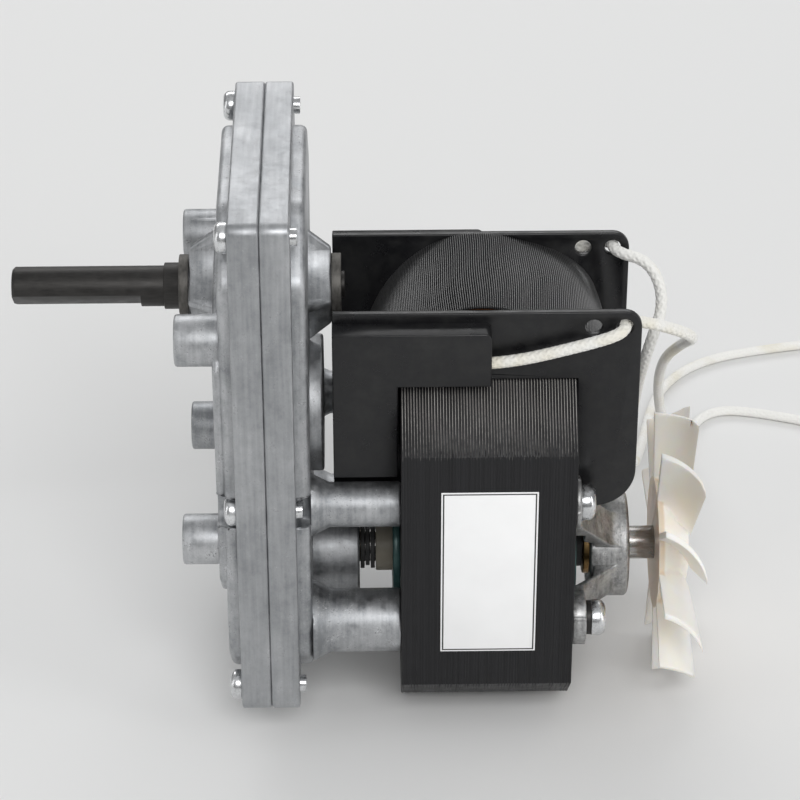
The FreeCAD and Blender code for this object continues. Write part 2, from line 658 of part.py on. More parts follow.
def make_rotor():
    axis = ROTOR_AXIS
    core = rod(STACK_START, STACK_END, BORE_R - AIR_GAP, *axis)
    fit = ROTOR_SHAFT_R + SLIP / 3
    PARTS["rotor_core"] = core.cut(rod(STACK_START - 1, STACK_END + 1, fit, *axis))
    rings = [
        tube(STACK_START - END_RING_LENGTH, STACK_START, END_RING_R, BORE_R / 2, *axis),
        tube(STACK_END, STACK_END + END_RING_LENGTH, END_RING_R, BORE_R / 2, *axis),
    ]
    PARTS["rotor_end_rings"] = Part.Compound(rings)
    shaft = rod(GEAR_1_END + 0.3, FAN_START + FAN_DEPTH * 0.6, ROTOR_SHAFT_R, *axis)
    shaft = shaft.fuse(rod(GEAR_1_X, GEAR_1_END + 0.4, PINION_BORE_R - SLIP / 3, *axis))
    PARTS["rotor_shaft"] = shaft

    spacer_end = STACK_START
    spacer_start = spacer_end - SPACER_LENGTH
    PARTS["rotor_spacer"] = tube(spacer_start, spacer_end, SPACER_R, fit, *axis)
    room = spacer_start - FRONT_CUP_END - SHIM_GAP
    step = room / SHIM_COUNT
    shims = []
    for k in range(SHIM_COUNT):
        x = FRONT_CUP_END + SHIM_GAP + k * step
        shims.append(tube(x, x + step * 0.8, SHIM_R - 0.5 * (k % 2), fit, *axis))
    rear_room = CUP_END - 1 - BEARING_LENGTH - SHIM_GAP - STACK_END
    shims.append(tube(STACK_END, STACK_END + rear_room / 2, SHIM_R + 1, fit, *axis))
    shims.append(tube(STACK_END + rear_room / 2, STACK_END + rear_room, SHIM_R, fit, *axis))
    PARTS["shim_washers"] = Part.Compound(shims)

    bore = ROTOR_SHAFT_R + SLIP
    for name, x_end in (("front_bearing", FRONT_CUP_END), ("rear_bearing", CUP_END - 1)):
        PARTS[name] = tube(x_end - BEARING_LENGTH, x_end, BEARING_R, bore, *axis)


# coil


def flange_plate(y0, y1):
    """A bobbin cheek: nearly square, with its two right-hand corners rounded."""
    corner = V(FLANGE_LEFT, y0, COIL_Z - BOBBIN_HEIGHT / 2)
    plate = Part.makeBox(BOBBIN_WIDTH, y1 - y0, BOBBIN_HEIGHT, corner)
    upright = V(0, 1, 0)
    high = edges_along(plate, upright, lambda p: p.x > COIL_X and p.z > COIL_Z)
    plate = plate.makeFillet(FLANGE_TOP_R, high)
    low = edges_along(plate, upright, lambda p: p.x > COIL_X and p.z < COIL_Z)
    return plate.makeFillet(FLANGE_BOTTOM_R, low)


def lead_pocket(side):
    """The raised cover over a coil end, on the outside of a cheek. A lead leaves its right-hand end."""
    face = side * BOBBIN_LENGTH / 2
    left, top = FLANGE_LEFT, FLANGE_TOP - POCKET_LIP
    y0 = min(face, face + side * POCKET_DEPTH)
    bar = Part.makeBox(POCKET_LENGTH, POCKET_DEPTH, POCKET_HEIGHT, V(left, y0, top - POCKET_HEIGHT))
    corner = edges_along(bar, V(0, 1, 0), lambda p: p.x > left + 1 and p.z > top - 1)
    bar = bar.makeFillet(POCKET_R, corner)
    leg = Part.makeBox(POCKET_LEG, POCKET_DEPTH, top - POCKET_LEG_BOTTOM, V(left, y0, POCKET_LEG_BOTTOM))
    return bar.fuse(leg)


def coil_outline(y, grow):
    """The closed curve round the wound coil at one place along it."""
    half, up, down = COIL_HALF_WIDTH + grow, COIL_TOP + grow, COIL_BOTTOM + grow
    points = [V(BOBBIN_X + half * a, y, COIL_Z + up * b) for a, b in COIL_UPPER_SHAPE]
    points += [V(BOBBIN_X + half * a, y, COIL_Z - down * b) for a, b in COIL_LOWER_SHAPE]
    curve = Part.BSplineCurve()
    curve.interpolate(points, PeriodicFlag=True)
    return Part.Wire(curve.toShape())


def coil_body(grow):
    """The wound coil: slightly crowned between its two cheeks."""
    end = BOBBIN_LENGTH / 2 - FLANGE - COIL_END_GAP
    stations = [(-end, grow - COIL_CROWN), (0, grow), (end, grow - COIL_CROWN)]
    return Part.makeLoft([coil_outline(y, g) for y, g in stations], True)


def make_coil():
    hole_x, hole_z = STACK_LENGTH / 2 + BOBBIN_SLIP, CORE_HEIGHT / 2 + BOBBIN_SLIP
    length = BOBBIN_LENGTH

    def post(grow):
        wide, tall = 2 * (hole_x + grow), 2 * (hole_z + grow)
        return Part.makeBox(wide, length, tall, V(COIL_X - wide / 2, -length / 2, COIL_Z - tall / 2))

    cheeks = [
        flange_plate(-length / 2, -length / 2 + FLANGE),
        flange_plate(length / 2 - FLANGE, length / 2),
        lead_pocket(-1),
        lead_pocket(1),
    ]
    holes = [post(0)]
    for x in (LEAD_HOLE_X, LEAD_HOLE_X - SPARE_HOLE_STEP):
        start = V(x, -length / 2 - 1, LEAD_HOLE_Z)
        holes.append(Part.makeCylinder(LEAD_HOLE_R, length + 2, start, V(0, 1, 0)))
    for side in (-1, 1):
        holes.append(rod(POCKET_END - LEAD_SEAT, POCKET_END + 1, LEAD_R + 0.2, side * LEAD_Y, LEAD_EXIT_Z))
    PARTS["bobbin"] = post(TUBE_WALL).fuse(cheeks).cut(holes)
    wrap = coil_body(0)
    core = coil_body(-TAPE)
    hollow = post(TUBE_WALL + 0.1)
    PARTS["coil_tape"] = wrap.cut(core)
    PARTS["winding"] = core.cut(hollow)


# rear bracket


def bracket_arm(y, z, foot):
    """A foot on the stack and an arm that climbs from it to the bearing cup."""
    reach = math.hypot(y, z - ROTOR_Z)
    outer = reach + FOOT_R - 1
    face, knee = STACK_END, STACK_END + foot
    clear = END_RING_R + 2 * ARM_ROOM
    points = [
        (face, outer), (knee, outer), (knee, reach - FOOT_R),
        (CUP_END - ARM_SHOULDER, CUP_R + ARM_ROOM / 2),
        (CUP_END - ARM_ROOM, CUP_R - ARM_ROOM),
        (CUP_END - CUP_DEPTH + ARM_ROOM, CUP_R - 2 * ARM_ROOM),
        (STACK_END + ARM_RISE, END_RING_R), (face, clear + ARM_ROOM),
    ]
    ring = [V(x, s, -ARM_WIDTH / 2) for x, s in points]
    arm = Part.Face(Part.makePolygon(ring + ring[:1])).extrude(V(0, 0, ARM_WIDTH))
    arm.rotate(V(0, 0, 0), X_AXIS, math.degrees(math.atan2(z - ROTOR_Z, y)))
    arm.translate(V(0, 0, ROTOR_Z))
    return arm.fuse(rod(face, knee, FOOT_R, y, z))


def make_bracket():
    body = rod(CUP_END - CUP_DEPTH, CUP_END, CUP_R, *ROTOR_AXIS)
    body = body.makeFillet(0.8, edges_on_plane(body, CUP_END))
    pieces, holes = [], []
    for level in BOLT_ZS:
        for y, z in bolt_places(level):
            pieces.append(bracket_arm(y, z, FOOT_THICKNESS[level]))
            holes.append(rod(STACK_END - 1, STACK_END + BRACKET_FOOT, BOLT_R + 0.2, y, z))
            seat = STACK_END + FOOT_THICKNESS[level]
            holes.append(rod(seat, seat + BOLT_WASHER + BOLT_HEAD_H + 0.5, BOLT_HEAD_R + 0.4, y, z))
    holes.append(rod(CUP_END - CUP_DEPTH - 1, CUP_END - 1, BEARING_R + SLIP / 3, *ROTOR_AXIS))
    holes.append(rod(CUP_END - 2, CUP_END + 1, ROTOR_SHAFT_R + 0.4, *ROTOR_AXIS))
    holes.append(rod(STACK_END - 1, STACK_END + END_RING_LENGTH + 0.6, END_RING_R + 0.5, *ROTOR_AXIS))
    # room for the copper loop behind an upper arm, and for the bobbin between the feet
    wide = BORE_R + RELIEF_ROOM
    relief = rod(STACK_END, STACK_END + RELIEF_DEPTH, wide, *ROTOR_AXIS)
    upper_half = Part.makeBox(RELIEF_DEPTH, 2 * wide, wide, V(STACK_END, -wide, ROTOR_Z + RELIEF_RISE))
    holes.append(relief.common(upper_half))
    between = BOBBIN_LENGTH / 2 + FEET_ROOM
    coil_foot = V(STACK_END, -between, FLANGE_TOP - BOBBIN_HEIGHT - FEET_ROOM)
    holes.append(Part.makeBox(BOBBIN_REAR_OVERHANG + FEET_ROOM, 2 * between, BOBBIN_HEIGHT, coil_foot))
    PARTS["rear_bracket"] = body.fuse(pieces).cut(holes)


# fan


def blade_section(radius, depth, sweep):
    """One blade's section at a radius: a thin strip that starts along X and curves sideways."""
    curve = []
    for share in (0.0, 0.5, 1.0):
        curve.append((FAN_START + depth * share, sweep * share * share))
    front = [V(x, radius, s) for x, s in curve]
    back = [V(x, radius, s - BLADE) for x, s in curve]
    edges = [
        Part.Arc(*front).toShape(),
        Part.makeLine(front[2], back[2]),
        Part.Arc(back[2], back[1], back[0]).toShape(),
        Part.makeLine(back[0], front[0]),
    ]
    return Part.Wire(edges)


def make_fan():
    root = blade_section(FAN_DISC_R - FAN_BLADE_ROOT, BLADE_ROOT_DEPTH, BLADE_ROOT_SWEEP)
    tip = blade_section(FAN_R - 0.6, FAN_DEPTH, BLADE_SWEEP)
    blade = Part.makeLoft([root, tip], True, True)
    solids = []
    for k in range(FAN_BLADES):
        copy = blade.copy()
        copy.rotate(V(0, 0, 0), X_AXIS, -360 / FAN_BLADES * k)
        solids.append(copy)
    cone = Part.makeCone(FAN_DISC_R, FAN_HUB_R + 1.5, BLADE_ROOT_DEPTH, V(FAN_START, 0, 0), X_AXIS)
    fan = cone.fuse(solids)
    hollow = rod(FAN_START + FAN_DISC, FAN_START + FAN_DEPTH + 1, FAN_HUB_R + 0.3)
    fan = fan.cut(hollow).fuse(rod(FAN_START, FAN_START + BLADE_ROOT_DEPTH - 0.8, FAN_HUB_R))
    fan = fan.cut(rod(FAN_START - 1, FAN_START + FAN_DEPTH + 1, ROTOR_SHAFT_R + SLIP / 3))
    fan = fan.common(rod(FAN_START, FAN_START + FAN_DEPTH, FAN_R))
    fan.translate(V(0, 0, ROTOR_Z))
    PARTS["fan"] = fan


# label and leads


def make_label():
    top = ROTOR_Z + LABEL_TOP_ABOVE_ROTOR
    corner = V(LABEL_START, -STACK_WIDTH / 2 - LABEL_THICK, top - LABEL_HEIGHT)
    PARTS["label"] = Part.makeBox(LABEL_WIDTH, LABEL_THICK, LABEL_HEIGHT, corner)


def lead(name, route):
    """A sleeved lead: straight runs joined by arcs as large as the runs allow."""
    points = [V(*p) for p in route]
    edges, start, radii = [], points[0], []
    for before, corner, after in zip(points, points[1:], points[2:]):
        into, away = corner.sub(before), after.sub(corner)
        turn = into.getAngle(away)
        reach = 0.45 * min(into.Length, away.Length)
        a = corner.sub(into.normalize().multiply(reach))
        b = corner.add(away.normalize().multiply(reach))
        radius = reach / math.tan(turn / 2)
        radii.append(round(radius, 1))
        centre_way = b.add(a).multiply(0.5).sub(corner).normalize()
        middle = corner.add(centre_way.multiply(radius / math.cos(turn / 2) - radius))
        edges.append(Part.makeLine(start, a))
        edges.append(Part.Arc(a, middle, b).toShape())
        start = b
    edges.append(Part.makeLine(start, points[-1]))
    path = Part.Wire(edges)
    ring = Part.Wire(Part.makeCircle(LEAD_R, points[0], points[1].sub(points[0])))
    solid = path.makePipeShell([ring], True, True)
    print(name, "length", round(path.Length, 1), "volume ratio",
          round(solid.Volume / (math.pi * LEAD_R**2 * path.Length), 4), "radii", radii)
    PARTS[name] = solid


FLOOR = ROTOR_Z - FAN_R + LEAD_R
NEAR_ROUTE = [
    (POCKET_END - LEAD_SEAT + 0.5, -LEAD_Y, LEAD_EXIT_Z), (POCKET_END + 2.5, -LEAD_Y, LEAD_EXIT_Z),
    (68.5, -LEAD_Y - 0.2, 17.2), (LEAD_HOLE_X, -LEAD_Y + 0.1, LEAD_HOLE_Z),
    (LEAD_HOLE_X + 0.2, -11.4, LEAD_HOLE_Z - 0.2), (83.0, -8.0, 15.8), (89.3, -1.5, 9.6),
    (88.0, 7.0, 3.5), (85.5, 17.0, -6.0), (86.5, 30.0, -22.0), (91.0, 46.0, -42.0),
    (96.0, 66.0, FLOOR), (101.5, 82.0, FLOOR), (113.0, 82.5, FLOOR), (131.0, 74.5, FLOOR),
]
FAR_ROUTE = [
    (POCKET_END - LEAD_SEAT + 0.5, LEAD_Y, LEAD_EXIT_Z), (POCKET_END + 2.5, LEAD_Y, LEAD_EXIT_Z),
    (68.5, LEAD_Y + 0.2, 17.2), (LEAD_HOLE_X, LEAD_Y - 0.1, LEAD_HOLE_Z),
    (LEAD_HOLE_X + 0.2, 11.6, LEAD_HOLE_Z), (82.0, 9.5, 18.6), (84.6, 7.5, 11.5),
    (81.5, 3.5, 4.5), (80.8, 12.0, -9.0), (81.2, 24.0, -23.0), (82.5, 38.0, -40.0),
    (85.5, 54.0, -53.0), (88.5, 70.0, FLOOR), (93.0, 90.0, FLOOR), (102.0, 101.5, FLOOR),
    (116.0, 107.0, FLOOR), (133.0, 110.0, FLOOR),
]


make_gear_train()
make_housings()
make_fasteners()
make_output()
make_stator()
make_rotor()
make_coil()
make_bracket()
make_fan()
make_label()
lead("lead_near", NEAR_ROUTE)
lead("lead_far", FAR_ROUTE)

os.makedirs("parts", exist_ok=True)
for name, shape in PARTS.items():
    for solid in shape.Solids:
        if not solid.isValid():
            print(name, "holds a solid that is not valid")
    whole = shape if len(shape.Solids) != 1 else shape.Solids[0]
    whole.exportStep(f"parts/{name}.step")
    print(name, len(shape.Solids), round(shape.Volume, 1))
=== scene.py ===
import json
import math
import random

import bmesh
import bpy
from mathutils import Matrix, Quaternion, Vector
from mathutils.bvhtree import BVHTree


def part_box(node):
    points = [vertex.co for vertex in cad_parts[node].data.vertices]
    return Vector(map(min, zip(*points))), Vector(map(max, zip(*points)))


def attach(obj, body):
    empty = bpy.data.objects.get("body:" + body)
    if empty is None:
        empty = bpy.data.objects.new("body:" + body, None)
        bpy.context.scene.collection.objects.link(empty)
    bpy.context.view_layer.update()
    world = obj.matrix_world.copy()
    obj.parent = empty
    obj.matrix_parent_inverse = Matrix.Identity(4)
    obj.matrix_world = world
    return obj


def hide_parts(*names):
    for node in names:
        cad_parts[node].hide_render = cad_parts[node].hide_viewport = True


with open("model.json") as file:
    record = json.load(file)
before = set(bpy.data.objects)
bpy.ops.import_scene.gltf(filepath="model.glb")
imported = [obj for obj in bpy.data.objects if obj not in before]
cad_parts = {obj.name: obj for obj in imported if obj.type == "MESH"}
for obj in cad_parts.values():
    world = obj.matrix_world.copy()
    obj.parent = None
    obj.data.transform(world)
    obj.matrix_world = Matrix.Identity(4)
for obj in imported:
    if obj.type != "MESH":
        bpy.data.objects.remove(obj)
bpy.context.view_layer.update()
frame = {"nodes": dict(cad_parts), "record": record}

# The camera stands on the near side of the motor and looks down on it by about 32 degrees.
# It was placed by fitting the gearbox, the stator and the fan to the photograph.
MM = 0.001
CAMERA_TARGET = Vector((37.86, 0.0, -3.53)) * MM
CAMERA_DISTANCE = 538.4 * MM
CAMERA_ELEVATION = math.radians(31.78)
CAMERA_AZIMUTH = math.radians(-0.89)
CAMERA_ROLL = math.radians(-0.08)
SENSOR = 36.0
FOCAL_SHARE = 3061 / 800

look = Vector((
    -math.sin(CAMERA_AZIMUTH) * math.cos(CAMERA_ELEVATION),
    math.cos(CAMERA_AZIMUTH) * math.cos(CAMERA_ELEVATION),
    -math.sin(CAMERA_ELEVATION),
))
camera_data = bpy.data.cameras.new("camera")
camera_data.sensor_width = SENSOR
camera_data.lens = SENSOR * FOCAL_SHARE
camera_data.clip_start = 0.01
camera = bpy.data.objects.new("camera", camera_data)
bpy.context.scene.collection.objects.link(camera)
camera.location = CAMERA_TARGET - look * CAMERA_DISTANCE
camera.rotation_mode = "QUATERNION"
camera.rotation_quaternion = look.to_track_quat("-Z", "Y") @ Quaternion((0, 0, 1), CAMERA_ROLL)
bpy.context.scene.camera = camera
bpy.context.scene.view_settings.view_transform = "Standard"


# The materials are node trees. A wire is one node's output, and sums on it add the maths nodes.
# A finish is one material. Its place() is in millimetres, along the row's own axes.
class Wire:
    """A node's output."""

    def __init__(self, finish, socket):
        self.finish = finish
        self.socket = socket

    def maths(self, operation, *others):
        inputs = dict(enumerate([self, *others]))
        return self.finish.node("Math", {"operation": operation}, inputs)

    def __add__(self, other):
        return self.maths("ADD", other)

    def __sub__(self, other):
        return self.maths("SUBTRACT", other)

    def __rsub__(self, other):
        return self.maths("MULTIPLY", -1.0).maths("ADD", other)

    def __mul__(self, other):
        return self.maths("MULTIPLY", other)

    __radd__ = __add__
    __rmul__ = __mul__


class Finish:
    """A material with its own nodes. The sockets given here are the same all over the piece."""

    def __init__(self, name, **sockets):
        self.material = bpy.data.materials.new(name)
        self.material.use_nodes = True
        self.tree = self.material.node_tree
        self.shader = self.tree.nodes["Principled BSDF"]
        for socket, value in sockets.items():
            self.shader.inputs[socket.replace("_", " ").title().replace("Ior", "IOR")].default_value = value

    def node(self, kind, settings=None, inputs=None, output=0):
        made = self.tree.nodes.new("ShaderNode" + kind)
        for key, value in (settings or {}).items():
            setattr(made, key, value)
        for key, value in (inputs or {}).items():
            if isinstance(value, Wire):
                self.tree.links.new(value.socket, made.inputs[key])
            else:
                made.inputs[key].default_value = value
        return Wire(self, made.outputs[output])

    def put(self, socket, wire):
        self.tree.links.new(wire.socket, self.shader.inputs[socket])

    def along(self, axis):
        """How far along one of the row's axes a point is, in millimetres."""
        return self.node("SeparateXYZ", None, {0: self.place()}, "XYZ".index(axis))

    def place(self, stretch=(1.0, 1.0, 1.0)):
        """The point on the piece in millimetres, stretched along each axis."""
        point = self.node("TexCoord", output="Object")
        return self.node("Mapping", None, {"Vector": point, "Scale": [s / MM for s in stretch]})

    def noise(self, scale, detail=2.0, stretch=(1.0, 1.0, 1.0), roughness=0.5):
        """A cloudy value about 0.5. The scale is in waves to the millimetre."""
        inputs = {"Vector": self.place(stretch), "Scale": scale, "Detail": detail, "Roughness": roughness}
        return self.node("TexNoise", None, inputs)

    def level(self, wire, low, high, to_low=0.0, to_high=1.0):
        """A value carried from one range to another, and held inside it."""
        inputs = {0: wire, 1: low, 2: high, 3: to_low, 4: to_high}
        return self.node("MapRange", {"clamp": True}, inputs)

    def blend(self, factor, a, b):
        """A mix of two colours."""
        inputs = {0: factor}
        for slot, tone in ((6, a), (7, b)):
            inputs[slot] = tone if isinstance(tone, Wire) else (*tone, 1.0)
        return self.node("Mix", {"data_type": "RGBA"}, inputs, 2)

    def bump(self, height, strength, depth):
        """Relief from a height of 0 to 1. The depth is in millimetres."""
        inputs = {"Height": height, "Strength": strength, "Distance": depth * MM}
        self.put("Normal", self.node("Bump", None, inputs))


# The floor is a plain pale sheet under the fan's lowest point, and the light is soft and from above.
# A wide lamp hangs behind the motor, where the upper faces mirror it, and a tall one stands on each side.
# The fourth hangs high on the near side and lights the faces that the camera looks at.
FLOOR_Z = -58.95 * MM
FLOOR_SIZE = 6.0
FLOOR_TONE = (0.77, 0.77, 0.765)
LAMPS = {
    "lamp_behind": {"place": (-0.05, 0.95, 0.66), "size": (1.3, 0.5), "power": 5.2},
    "lamp_left": {"place": (-0.95, -0.25, 0.30), "size": (0.30, 0.8), "power": 1.2},
    "lamp_right": {"place": (0.90, -0.45, 0.35), "size": (0.30, 0.8), "power": 2.0},
    "lamp_near": {"place": (0.25, -1.45, 1.35), "size": (1.2, 0.8), "power": 19.0},
}
SKY_HIGH = (0.90, 0.91, 0.92)
SKY_LOW = (0.38, 0.38, 0.38)
SKY_STRENGTH = 0.55

floor_work = bmesh.new()
bmesh.ops.create_grid(floor_work, x_segments=1, y_segments=1, size=FLOOR_SIZE / 2)
bmesh.ops.translate(floor_work, verts=floor_work.verts, vec=(0, 0, FLOOR_Z))
floor_mesh = bpy.data.meshes.new("floor")
floor_work.to_mesh(floor_mesh)
floor_work.free()
paper = Finish("floor_paper", roughness=0.85)
paper.shader.inputs["Base Color"].default_value = (*FLOOR_TONE, 1.0)
floor_mesh.materials.append(paper.material)
floor = bpy.data.objects.new("floor", floor_mesh)
bpy.context.scene.collection.objects.link(floor)

for lamp_name, lamp in LAMPS.items():
    lamp_data = bpy.data.lights.new(lamp_name, "AREA")
    lamp_data.shape = "RECTANGLE"
    lamp_data.size, lamp_data.size_y = lamp["size"]
    lamp_data.energy = lamp["power"]
    lamp_object = bpy.data.objects.new(lamp_name, lamp_data)
    bpy.context.scene.collection.objects.link(lamp_object)
    lamp_object.location = lamp["place"]
    aim = CAMERA_TARGET - Vector(lamp["place"])
    lamp_object.rotation_euler = aim.to_track_quat("-Z", "Y").to_euler()

world = bpy.data.worlds.new("studio")
bpy.context.scene.world = world
world.use_nodes = True
sky_nodes, sky_links = world.node_tree.nodes, world.node_tree.links
sky_way = sky_nodes.new("ShaderNodeTexCoord")
sky_split = sky_nodes.new("ShaderNodeSeparateXYZ")
sky_ramp = sky_nodes.new("ShaderNodeValToRGB")
sky_ramp.color_ramp.elements[0].color = (*SKY_LOW, 1)
sky_ramp.color_ramp.elements[1].color = (*SKY_HIGH, 1)
sky_links.new(sky_way.outputs["Generated"], sky_split.inputs[0])
sky_links.new(sky_split.outputs["Z"], sky_ramp.inputs[0])
sky_links.new(sky_ramp.outputs[0], sky_nodes["Background"].inputs["Color"])
sky_nodes["Background"].inputs["Strength"].default_value = SKY_STRENGTH


# Two leads in white braided glass sleeves, each about two hundred millimetres long and limp.
# They leave the coil under the moulded covers and pass through a hole in each cheek.
# Beyond the fan they hang down and lie on the floor, and each ends in a bare tinned tip.
LEAD_R = 1.0
LEAD_FLOOR = -57.9
NEAR_ROUTE = [
    (49.5, -16.5, 13.7), (55.5, -16.5, 13.7), (68.5, -16.7, 17.2), (75.5, -16.4, 19.4), (75.7, -11.4, 19.2),
    (83.0, -8.0, 15.8), (89.3, -1.5, 9.6), (88.0, 7.0, 3.5), (85.5, 17.0, -6.0), (86.5, 30.0, -22.0),
    (91.0, 46.0, -42.0), (96.0, 66.0, LEAD_FLOOR), (101.5, 82.0, LEAD_FLOOR), (113.0, 82.5, LEAD_FLOOR),
    (131.0, 74.5, LEAD_FLOOR),
]
FAR_ROUTE = [
    (49.5, 16.5, 13.7), (55.5, 16.5, 13.7), (68.5, 16.7, 17.2), (75.5, 16.4, 19.4), (75.7, 11.6, 19.4),
    (82.0, 9.5, 18.6), (84.6, 7.5, 11.5), (81.5, 3.5, 4.5), (80.8, 12.0, -9.0), (81.2, 24.0, -23.0),
    (82.5, 38.0, -40.0), (85.5, 54.0, -53.0), (88.5, 70.0, LEAD_FLOOR), (93.0, 90.0, LEAD_FLOOR),
    (102.0, 101.5, LEAD_FLOOR), (116.0, 107.0, LEAD_FLOOR), (133.0, 110.0, LEAD_FLOOR),
]
BRAID_STRANDS = 5
BRAID_AROUND = 40
BRAID_STEP = 0.16
BRAID_SLOPE = 1.15
BRAID_RELIEF = 0.16
BRAID_OVER = 0.28
TIGHT_RELIEF = 0.34
TIGHT_END = 62.0
TIGHT_FADE = 8.0
SLEEVE_SWELL = 0.12
TIP_R = 0.42
TIP_LENGTH = 4.0
TIP_INSIDE = 0.5


def centre_line(name, route):
    """The points along the smooth curve that a route's points pull on."""
    curve = bpy.data.curves.new(name, "CURVE")
    curve.dimensions = "3D"
    spline = curve.splines.new("NURBS")
    spline.points.add(len(route) - 1)
    for point, place in zip(spline.points, route):
        point.co = (*(Vector(place) * MM), 1.0)
    spline.order_u = 3
    spline.use_endpoint_u = True
    spline.resolution_u = 48
    holder = bpy.data.objects.new(name, curve)
    bpy.context.scene.collection.objects.link(holder)
    line = bpy.data.meshes.new_from_object(holder)
    points = [v.co.copy() for v in line.vertices]
    bpy.data.objects.remove(holder)
    bpy.data.curves.remove(curve)
    bpy.data.meshes.remove(line)
    return points


def evenly(points, step):
    """Points an even step apart along a line."""
    placed, left = [points[0]], step
    for a, b in zip(points, points[1:]):
        run = (b - a).length
        travelled = 0.0
        while run - travelled >= left:
            travelled += left
            placed.append(a.lerp(b, travelled / run))
            left = step
        left -= run - travelled
    return placed


def braid_height(turn, along):
    """The height of crossing strands, each passing over and under the ones that lean the other way."""
    right = BRAID_STRANDS * turn + along
    left = BRAID_STRANDS * turn - along
    over = math.sin(right / 2) * math.sin(left / 2)
    first = abs(math.cos(right / 2)) * (1 - BRAID_OVER + BRAID_OVER * over)
    second = abs(math.cos(left / 2)) * (1 - BRAID_OVER - BRAID_OVER * over)
    return max(first, second)


def braided_tube(points):
    """A sleeve along a line, with a UV map, and the way its end points. The braid is coarser near the coil."""
    work = bmesh.new()
    uv = work.loops.layers.uv.new("sleeve")
    side = Vector((0, 0, 1)).cross(points[1] - points[0]).normalized()
    rings = []
    pitch = 2 * math.pi * LEAD_R / BRAID_STRANDS
    for k, point in enumerate(points):
        ahead = (points[min(k + 1, len(points) - 1)] - points[max(k - 1, 0)]).normalized()
        side = (side - ahead * side.dot(ahead)).normalized()
        other = ahead.cross(side)
        along = 2 * math.pi * k * BRAID_STEP / (pitch * BRAID_SLOPE)
        coarse = max(0.0, min(1.0, (TIGHT_END - k * BRAID_STEP) / TIGHT_FADE))
        relief = BRAID_RELIEF + (TIGHT_RELIEF - BRAID_RELIEF) * coarse
        swell = 1.0 + SLEEVE_SWELL * coarse
        ring = []
        for j in range(BRAID_AROUND):
            turn = 2 * math.pi * j / BRAID_AROUND
            r = (LEAD_R * swell - relief * (1 - braid_height(turn, along))) * MM
            ring.append(work.verts.new(point + (side * math.cos(turn) + other * math.sin(turn)) * r))
        rings.append(ring)
    for k, (a, b) in enumerate(zip(rings, rings[1:])):
        for j in range(BRAID_AROUND):
            n = (j + 1) % BRAID_AROUND
            face = work.faces.new((a[j], a[n], b[n], b[j]))
            corners = ((j, k), (j + 1, k), (j + 1, k + 1), (j, k + 1))
            for loop, (across, down) in zip(face.loops, corners):
                loop[uv].uv = (across / BRAID_AROUND, down * BRAID_STEP / (2 * math.pi * LEAD_R))
    work.faces.new(rings[0][::-1])
    work.faces.new(rings[-1])
    return work, ahead


def piece(name, work, finish, body, slot, *nodes, smooth=35.0):
    """An object from a bmesh, riding on a body. It stands for the CAD nodes that are named."""
    mesh = bpy.data.meshes.new(name)
    work.to_mesh(mesh)
    work.free()
    mesh.materials.append(finish.material)
    mesh.polygons.foreach_set("use_smooth", [True] * len(mesh.polygons))
    mesh.set_sharp_from_angle(angle=math.radians(smooth))
    made = bpy.data.objects.new(name, mesh)
    bpy.context.scene.collection.objects.link(made)
    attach(made, body)
    if nodes:
        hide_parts(*nodes)
    return made


braid = Finish("braided_sleeve", roughness=0.8, sheen_weight=0.3)
uv_point = braid.node("TexCoord", output="UV")
yarn_place = braid.node("Mapping", None, {"Vector": uv_point, "Scale": (60.0, 60.0, 60.0)})
yarn = braid.node("TexNoise", None, {"Vector": yarn_place, "Scale": 1.6, "Detail": 3.0})
soil = braid.level(braid.noise(0.12, 2.0), 0.48, 0.75)
clean_yarn = braid.blend(yarn, (0.80, 0.79, 0.75), (0.92, 0.915, 0.89))
braid.put("Base Color", braid.blend(soil, clean_yarn, (0.76, 0.71, 0.57)))
braid.bump(yarn, 0.5, 0.06)
tin = Finish("tinned_wire", metallic=1.0, roughness=0.32)
tin.put("Base Color", tin.blend(tin.noise(2.0), (0.62, 0.62, 0.62), (0.78, 0.78, 0.77)))

for lead_name, route in (("lead_near", NEAR_ROUTE), ("lead_far", FAR_ROUTE)):
    line = evenly(centre_line(lead_name + "_line", route), BRAID_STEP * MM)
    line = line[:len(line) - round(TIP_LENGTH / BRAID_STEP)]
    sleeve_work, end_way = braided_tube(line)
    sleeve = piece(lead_name + "_sleeve", sleeve_work, braid, "housing", "white_sleeve", lead_name, smooth=80)
    tip_work = bmesh.new()
    bmesh.ops.create_cone(
        tip_work, cap_ends=True, segments=24, radius1=TIP_R * MM, radius2=TIP_R * MM, depth=TIP_LENGTH * MM
    )
    for edge in [e for e in tip_work.edges if abs(e.verts[0].co.z - e.verts[1].co.z) < 1e-9]:
        edge.smooth = False
    turn_tip = end_way.to_track_quat("Z", "Y").to_matrix().to_4x4()
    move_tip = Matrix.Translation(line[-1] + end_way * (TIP_LENGTH / 2 - TIP_INSIDE) * MM)
    bmesh.ops.transform(tip_work, matrix=move_tip @ turn_tip, verts=tip_work.verts)
    tip = piece(lead_name + "_tip", tip_work, tin, "housing", "plated_screw")
    lead_length = sum((b - a).length for a, b in zip(line, line[1:]))

# The gearbox is two die-cast shells that meet at a thin joint. Their skin is mottled by the metal's flow.
# The edges are rounded by the die, and the rims are brushed where the flash was trimmed.
SHELL_EDGE = 0.45
CORNER_GAP = 0.002
FLAT_ANGLE = 0.4
SHARP_ANGLE = 38.0
STRAY_SHARE = 0.45
FRONT_RIM = 5.2
REAR_RIM = 5.0
RIM_CALM = 0.6
RIM_FADE = 0.4
CAST_LIGHT = (0.58, 0.588, 0.60)
CAST_DARK = (0.26, 0.27, 0.282)
BODY_OF = {n: b for b, ns in frame["record"]["behaviour"]["bodies"].items() for n in ns}
SLOT_OF = {s["node"]: s["material_slot"] for s in frame["record"]["subparts"]}


